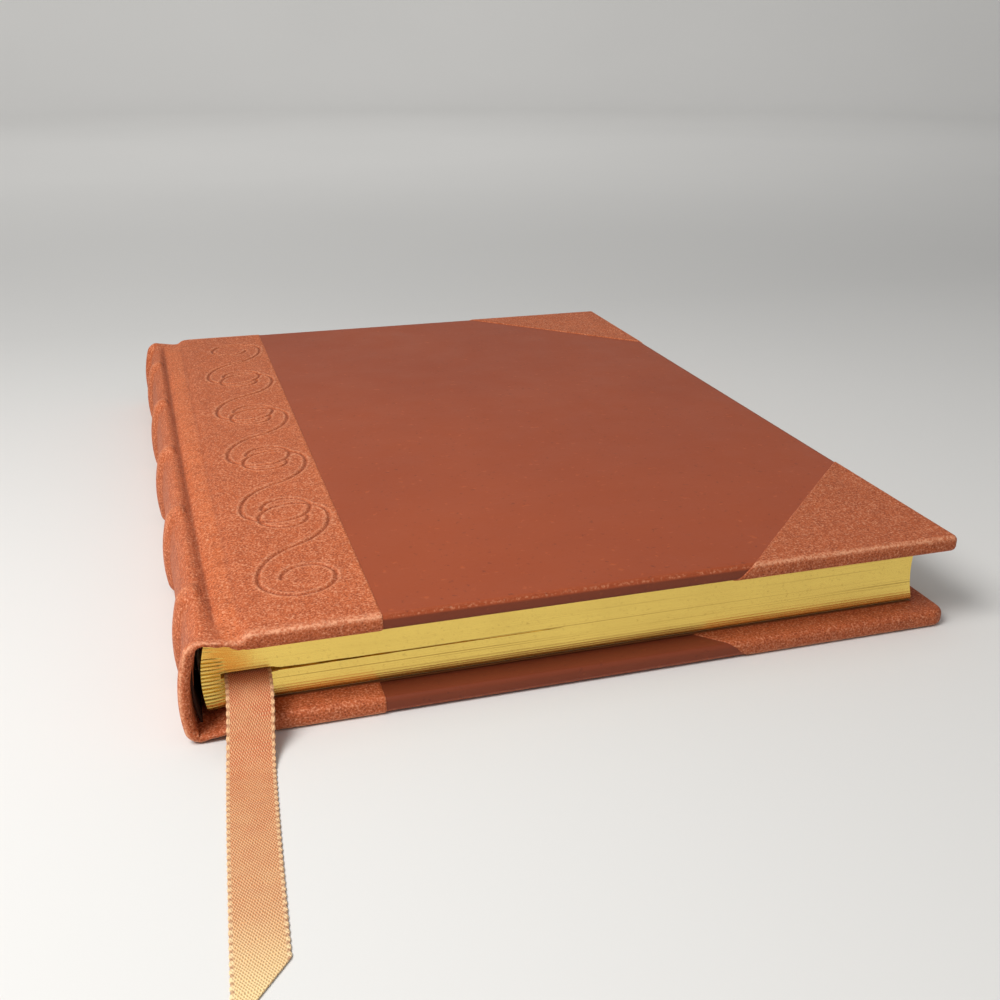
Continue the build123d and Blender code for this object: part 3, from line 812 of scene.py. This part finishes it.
def tan_leather():
    """Vegetable-tanned leather: cloudy orange tan, dark pores and pale flecks, painted light on an orange strip in the
    joint, a brighter band along the flap's cut edge, painted shade in the creases, tooled grooves and tail corners,
    edges rubbed pale with painted highlights on their crests, the band tops and the tooled lips."""
    f, w = finish(), Wiring("tan_leather")
    place, rub = w.rest_place(), w.field("rub")
    grain = w.noise(place, 1700, 5, 0.7)
    pits = w.add("ShaderNodeTexVoronoi", Vector=w.warped(place, 1200, 0.0004), Scale=2000.0).outputs["Distance"]
    fine = w.bump(w.plus(grain, w.times(pits, 0.6)), 0.5, 0.0002)
    colour = w.layers(
        f.tan,
        # painted light on the joint strip, and the brighter band along the flap's cut edge
        (w.times(w.field("warm"), 0.32), f.tan_lit),
        (w.ramp(w.noise(place, 95, 4, 0.6), 0.36, 0.66, 0, 0.14), f.tan_deep),
        (w.ramp(w.noise(place, 430, 3, 0.6), 0.46, 0.64, 0, 0.22), f.tan_deep),
        (w.times(w.ramp(pits, 0.12, 0.45, 0.95, 0), w.ramp(grain, 0.4, 0.58, 0.25, 1)), dimmed(f.tan_deep, 0.8)),
        (w.times(w.ramp(pits, 0.4, 0.7, 0, 0.65), w.ramp(w.noise(place, 3000, 3, 0.6), 0.45, 0.62)), f.tan_pale_and_highlight),
        # rubbed edges with painted highlights on crests, band tops and tooled lips
        (w.times(rub, w.ramp(grain, 0.42, 0.58, 0.1, 0.9)), f.tan_pale_and_highlight),
        # painted shade in creases, tooled grooves and on the tail corners
        (w.times(w.field("press"), 0.5), dimmed(f.tan_deep, 0.55)),
    )
    return w.shade(
        Base_Color=colour, Roughness=w.ramp(grain, 0.3, 0.7, 0.7, 0.55), Specular_IOR_Level=0.25,
        Normal=w.bump(w.noise(place, 380, 4, 0.6), 0.25, 0.0003, Normal=fine),
    )


def brown_leather():
    """Smooth finished leather: even warm brown, faint clouds, tiny pits and pimples, painted shade on the edge walls
    and painted glints on the crest of the edges."""
    f, w = finish(), Wiring("brown_leather")
    place, rub = w.rest_place(), w.field("rub")
    speck = w.ramp(w.noise(place, 620, 3, 0.5), 0.65, 0.73)
    glint = w.ramp(w.noise(place, 1900, 3, 0.6), 0.5, 0.68, 0, 0.42)
    colour = w.layers(
        f.brown,
        (w.ramp(w.noise(place, 28, 3, 0.5), 0.3, 0.7), f.brown_deep),
        (w.times(speck, 0.4), f.tan),
        (w.ramp(w.noise(place, 840, 2, 0.5), 0.34, 0.27, 0, 0.4), f.brown_shade_and_pits),
        # painted shade on the walls of the edges
        (w.times(w.field("press"), 0.55), f.brown_shade_and_pits),
        # painted glints along the crest of the edges
        (w.times(w.times(rub, rub), glint), f.tan_pale_and_highlight),
    )
    rough = w.plus(w.ramp(w.noise(place, 90, 3, 0.5), 0.3, 0.7, 0.44, 0.5), w.times(rub, -0.2))
    fine = w.bump(w.noise(place, 800, 5, 0.6), 0.14, 0.0002)
    lumps = w.bump(w.times(w.noise(place, 520, 3, 0.6), w.ramp(rub, 0, 1, 0.1, 1.7)), 0.5, 0.0004, Normal=fine)
    pits = w.bump(speck, 0.25, 0.00012, Normal=lumps)
    return w.shade(Base_Color=colour, Roughness=rough, Normal=pits, Specular_IOR_Level=0.2)


def gilt_edge():
    """Gilded page edges: burnished gold with a few dark level lines between leaves and a fine grain."""
    f, w = finish(), Wiring("gilt_pages")
    place, leaf = w.rest_place(), w.field("leaf")

    def level(stretch, count, detail):
        """Noise that runs along the leaves: stretch cells for a metre, count cells for the thickness."""
        height = w.add("ShaderNodeCombineXYZ", Z=w.times(leaf, count)).outputs[0]
        return w.noise(w.stretched(place, (stretch, stretch, 0), height), 1.0, detail, 0.6)

    fine = level(45.0, 150.0, 3.0)
    colour = w.layers(
        f.gilt,
        (w.ramp(level(7.0, 30.0, 2.0), 0.33, 0.39, 0.65, 0), f.gilt_deep),
        (w.ramp(fine, 0.3, 0.55, 0.12, 0), f.gilt_deep),
        (w.ramp(w.noise(place, 1900, 4, 0.6), 0.58, 0.7, 0, 0.3), f.gilt_deep),
        (w.ramp(w.noise(place, 60, 3, 0.5), 0.35, 0.7, 0, 0.12), f.gilt_deep),
    )
    rough = w.ramp(fine, 0.3, 0.65, 0.2, 0.13)
    return w.shade(Base_Color=colour, Roughness=rough, Normal=w.bump(fine, 0.1, 0.0001), Metallic=0.8)


def cream_paper(sheets):
    """Cream endpaper with faint fibres. Sheets of their own are gilt on their trimmed edges; paper on a board has
    painted shade on its rims instead."""
    f, w = finish(), Wiring("endpaper_sheet" if sheets else "endpaper_board")
    place = w.rest_place() if sheets else w.own_place()
    fibre = w.noise(place, 1800, 5, 0.7)
    x, y, _ = w.add("ShaderNodeSeparateXYZ", Vector=place).outputs
    ends = ((x, PAGE_HIGH[0]), (w.sums("ABSOLUTE", y), PAGE_HIGH[1]))
    trimmed = w.sums("MAXIMUM", *(w.ramp(at, (edge - 0.5) * MM, (edge - 0.45) * MM) for at, edge in ends))
    colour = w.layers(
        f.paper,
        (w.ramp(w.noise(place, 35, 3, 0.5), 0.3, 0.7, 0, 0.35), dimmed(f.paper, 0.82)),
        (w.ramp(fibre, 0.58, 0.75, 0, 0.35), dimmed(f.paper, 0.82)),
        # gilt on the trimmed edges of sheets; painted shade on the rims of paper on a board
        (trimmed, f.gilt if sheets else f.rim),
    )
    return w.shade(
        Base_Color=colour, Roughness=w.ramp(trimmed, 0, 1, 0.85, 0.4), Normal=w.bump(fibre, 0.3, 0.0001),
        Specular_IOR_Level=0.25, Metallic=w.times(trimmed, 0.7 if sheets else 0.0),
    )


def grey_card(name, key):
    """Pressed card with fibres, in the named colour."""
    w, tone = Wiring(name), getattr(finish(), key)
    fibre = w.noise(w.own_place(), 900, 6, 0.7)
    colour = w.layers(tone, (w.ramp(fibre, 0.4, 0.7, 0, 0.5), dimmed(tone, 0.6)))
    return w.shade(Base_Color=colour, Roughness=0.9, Normal=w.bump(fibre, 0.4, 0.0002), Specular_IOR_Level=0.2)


def ribbon_satin():
    """Woven satin: slanting floats across the ribbon, pale looped selvedges, copper with a painted sheen that turns it
    to pale gold towards the end."""
    f, w = finish(), Wiring("ribbon_satin")
    across, along, place = w.field("across"), w.field("along"), w.rest_place()
    wander = w.times(w.noise(place, 420, 3, 0.6), 1.5)

    def threads(lengthwise, sideways):
        """A row of threads for each unit of a slanting distance over the ribbon."""
        slant = w.plus(w.plus(w.times(along, lengthwise), w.times(across, sideways)), wander)
        return w.sums("SINE", w.times(slant, 2 * math.pi))

    weave = w.plus(threads(1.4, -1.9), w.times(threads(0.75, 2.5), 0.8))
    # painted sheen: the copper turns to pale gold towards the ribbon's end
    gold = w.plus(w.ramp(along, 192.0, 250.0, 0, 0.35), w.ramp(along, 245.0, 262.0, 0, 0.65))
    # the selvedge pales with the same painted sheen
    loop = w.layers(f.ribbon, (w.ramp(gold, 0, 1, 0.55, 1), f.selvedge))
    beads = w.ramp(w.sums("SINE", w.times(along, 2 * math.pi / BEAD)), -0.9, 0.3, 0.4, 1)
    colour = w.layers(
        f.ribbon,
        # painted sheen towards the end
        (gold, f.ribbon_pale_and_sheen),
        (w.ramp(w.noise(place, 260, 4, 0.6), 0.35, 0.65, 0, 0.16), f.ribbon_pale_and_sheen),
        (w.ramp(weave, -1.5, -0.1, 0.5, 0), dimmed(f.ribbon, 0.35)),
        (w.ramp(weave, 0.3, 1.4), loop),
        (w.ramp(w.sums("ABSOLUTE", across), 3.5, 3.7), w.layers(dimmed(f.ribbon, 0.55), (beads, loop))),
    )
    return w.shade(
        Base_Color=colour, Roughness=0.45, Normal=w.bump(weave, 0.5, 0.0001),
        Sheen_Weight=0.15, Sheen_Roughness=0.4, Specular_IOR_Level=0.4,
    )


def pale_floor():
    """Plain pale floor with a barely seen unevenness."""
    w, tone = Wiring("pale_floor"), finish().floor
    colour = w.layers(tone, (w.ramp(w.noise(w.own_place(), 3, 2, 0.5), 0.3, 0.7), dimmed(tone, 0.97)))
    return w.shade(Base_Color=colour, Roughness=0.75, Specular_IOR_Level=0.25)


MADE = {}


def shared(make, *extra):
    """The material from that maker if it was made already, else a new one."""
    key = (make.__name__, *extra)
    if key not in MADE:
        MADE[key] = make(*extra)
    return MADE[key]


# Operators

SIDES = ("front", "back")
PAPER = 0.0001  # thickness of an endpaper, in metres


def across_joint(made):
    """Bakes the transform of a piece that lies over the joint between the book block and a cover into its points."""
    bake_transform(made)


def lay(side, node, leather, grid, fields, **options):
    """A piece of leather on a cover, in place of a CAD node."""
    made = cover_piece(side, node + "_leather", grid, **options, **fields)
    seat(made, shared(leather), side + "_cover", node)


def paint(node, material):
    """A finish on a CAD node that keeps its own shape."""
    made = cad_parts[node]
    coat(made if isinstance(made, bpy.types.Object) else bpy.data.objects[made], material)


class JOURNAL_OT_spine(bpy.types.Operator):
    """Spine leather moulded over the raised bands, in a half for each cover, and the bands' cores"""

    bl_idname = "journal.spine"
    bl_label = "Spine Leather"

    def execute(self, context):
        halves = []
        for side, lean in zip(SIDES, (1, -1)):
            grid, fields = spine_sheet(lean)
            halves.append(grid if side == "front" else turned_over(grid))
            made = cover_piece(side, "spine_leather_" + side, grid, **fields)
            dress(made, shared(tan_leather))
            across_joint(made)
            if side == "front":
                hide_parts("spine_leather")
        for number, place in enumerate(BANDS, 1):
            made = piece(f"band_core_{number}", [band_sheet(halves, place)], merge=True)
            card = shared(grey_card, "spine_card", "spine_card")
            seat(made, card, "book_block", f"raised_band_{number}")
        return {"FINISHED"}


class JOURNAL_OT_flaps(bpy.types.Operator):
    """Spine leather on the boards, with the tooled chain of scrolls on the front"""

    bl_idname = "journal.flaps"
    bl_label = "Flaps"

    def execute(self, context):
        for side in SIDES:
            lay(side, side + "_spine_flap", tan_leather, *flap_sheet(side == "front"))
        return {"FINISHED"}


class JOURNAL_OT_sides(bpy.types.Operator):
    """Brown leather sides, rolled over the board edges"""

    bl_idname = "journal.sides"
    bl_label = "Sides"

    def execute(self, context):
        for side, corner in zip(SIDES, (sizes().front_corner, sizes().back_corner)):
            lay(side, side + "_side", brown_leather, *side_sheet(corner), merge=True)
        return {"FINISHED"}


class JOURNAL_OT_corners(bpy.types.Operator):
    """Tan leather corners, lapped over the brown sides"""

    bl_idname = "journal.corners"
    bl_label = "Corners"

    def execute(self, context):
        for side, corner in zip(SIDES, (sizes().front_corner, sizes().back_corner)):
            for end, word in ((-1, "tail"), (1, "head")):
                sheet_and_fields = corner_sheet(end, corner)
                lay(side, f"{side}_{word}_corner", tan_leather, *sheet_and_fields, flip=end > 0, merge=True)
        return {"FINISHED"}


class JOURNAL_OT_pages(bpy.types.Operator):
    """Page block with gilt edges"""

    bl_idname = "journal.pages"
    bl_label = "Pages"

    def execute(self, context):
        sheets, leaf = page_sheets()
        made = piece("gilt_page_block", sheets, flip=[False, True, False, True, True, False], merge=True, leaf=leaf)
        seat(made, shared(gilt_edge), "book_block", "text_block")
        return {"FINISHED"}


class JOURNAL_OT_endpapers(bpy.types.Operator):
    """Flyleaves, the strips of endpaper over the joints, and paper on the pastedowns"""

    bl_idname = "journal.endpapers"
    bl_label = "Endpapers"

    def execute(self, context):
        for side in SIDES:
            for word, make in (("flyleaf_sheet", leaf_sheet), ("endpaper_joint", hinge_paper_sheet)):
                made = cover_piece(side, f"{side}_{word}", make())
                thick = made.modifiers.new("paper", "SOLIDIFY")
                thick.thickness = PAPER
                thick.offset = -1
                if word == "flyleaf_sheet":
                    seat(made, shared(cream_paper, True), "book_block", side + "_flyleaf")
                else:
                    dress(made, shared(cream_paper, True))
                    across_joint(made)
            paint(side + "_pastedown", shared(cream_paper, False))
        return {"FINISHED"}


class JOURNAL_OT_inside(bpy.types.Operator):
    """Finishes of the boards, stiffener, lining and hollow, which keep their solid shapes"""

    bl_idname = "journal.inside"
    bl_label = "Inside"

    def execute(self, context):
        for node in ("front_board", "back_board"):
            paint(node, shared(grey_card, "board_card", "card"))
        # painted shade on the stiffener where it shows at the tail
        paint("spine_stiffener", shared(grey_card, "spine_card", "spine_card"))
        for node in ("spine_lining", "spine_hollow"):
            paint(node, shared(grey_card, "lining_paper", "card"))
        return {"FINISHED"}


class JOURNAL_OT_ribbon(bpy.types.Operator):
    """Satin ribbon marker, out of the tail of the pages and onto the floor"""

    bl_idname = "journal.ribbon"
    bl_label = "Ribbon"

    def execute(self, context):
        path = ribbon_path()
        sheets, across, along = ribbon_sheets(path / MM)
        made = piece("ribbon", sheets, flip=[True, False, True, True], merge=True, across=across, along=along)
        seat(made, shared(ribbon_satin), "book_block", "ribbon_marker")
        run = run_along(path / MM)
        middle = run[-1] - sizes().ribbon_cut / 4
        path = path[run <= middle]
        return {"FINISHED"}


FLOOR_LEVEL, FLOOR_OUT, FLOOR_RISE = 1500, 3500, 1800  # where the floor starts to rise and ends, and its rim's height
FLOOR_DROP = 0.02  # the floor lies this far under the book
SENSOR = 36
LAMPS = (  # name, place, aim, size in metres, power in watts
    ("key", (-0.3, -0.2, 0.42), (0, 0, 0), 0.25, 2.5),
    ("fill", (0.6, -0.9, 0.4), (0, 0, 0), 0.8, 0.5),
    ("top", (-0.1, 0.0, 1.2), (0, 0, 0), 1.0, 1.6),
    ("backdrop", (0, 0.8, 1.3), (0, 3.0, 0.3), 1.5, 12),
)
SKY, SKY_STRENGTH = (0.9, 0.92, 0.95, 1), 0.32


class JOURNAL_OT_stage(bpy.types.Operator):
    """Pale floor, soft lights and the camera at the photograph's angle"""

    bl_idname = "journal.stage"
    bl_label = "Stage"

    def execute(self, context):
        scene = context.scene
        eye = scene.journal_stage
        # a level disc whose rim sweeps up all round by the smooth step of the way out
        out, turn = np.linspace(0, FLOOR_OUT, 71)[:, None], np.linspace(0, 2 * math.pi, 97)
        rise = FLOOR_RISE * ease((out - FLOOR_LEVEL) / (FLOOR_OUT - FLOOR_LEVEL)) - FLOOR_DROP
        floor = piece("floor", [sheet(out * np.cos(turn), out * np.sin(turn), rise)], merge=True)
        coat(floor, shared(pale_floor))
        data = bpy.data.cameras.new("camera")
        data.lens, data.sensor_width = eye.lens, SENSOR
        data.clip_start, data.clip_end = 0.01, 50
        camera = bpy.data.objects.new("camera", data)
        camera.location = eye.place
        camera.rotation_euler = (QUARTER - eye.tilt, 0, -eye.heading)
        scene.collection.objects.link(camera)
        scene.camera = camera
        scene.view_settings.view_transform = "Standard"
        for name, place, aim, size, power in LAMPS:
            lamp = bpy.data.lights.new(name, "AREA")
            lamp.size, lamp.energy = size, power
            made = bpy.data.objects.new(name, lamp)
            made.location = place
            x, y, z = np.array(aim, float) - np.array(place)
            made.rotation_euler = (math.atan2(math.hypot(x, y), -z), 0, math.atan2(y, x) - QUARTER)
            scene.collection.objects.link(made)
        world = bpy.data.worlds.new("studio")
        world.use_nodes = True
        sky = world.node_tree.nodes["Background"]
        sky.inputs["Color"].default_value = SKY
        sky.inputs["Strength"].default_value = SKY_STRENGTH
        scene.world = world
        return {"FINISHED"}


STEPS = (
    JOURNAL_OT_stage, JOURNAL_OT_ribbon, JOURNAL_OT_spine, JOURNAL_OT_flaps, JOURNAL_OT_sides,
    JOURNAL_OT_corners, JOURNAL_OT_pages, JOURNAL_OT_endpapers, JOURNAL_OT_inside,
)


class JOURNAL_PT_panel(bpy.types.Panel):
    """Lists the journal's pieces in the sidebar"""

    bl_label = "Leather Journal"
    bl_idname = "JOURNAL_PT_panel"
    bl_space_type = "VIEW_3D"
    bl_region_type = "UI"
    bl_category = "Journal"

    def draw(self, context):
        for step in STEPS:
            self.layout.operator(step.bl_idname)


GROUPS = {"journal_sizes": JournalSizes, "journal_finish": JournalFinish, "journal_stage": JournalStage}
CLASSES = (*GROUPS.values(), *STEPS, JOURNAL_PT_panel)


def register():
    for kind in CLASSES:
        bpy.utils.register_class(kind)
    for name, kind in GROUPS.items():
        setattr(bpy.types.Scene, name, bpy.props.PointerProperty(type=kind))


def unregister():
    for name in GROUPS:
        delattr(bpy.types.Scene, name)
    for kind in reversed(CLASSES):
        bpy.utils.unregister_class(kind)


def main():
    """Registers the add-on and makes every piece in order."""
    register()
    for step in STEPS:
        group, name = step.bl_idname.split(".")
        getattr(getattr(bpy.ops, group), name)()


if __name__ == "__main__":
    main()
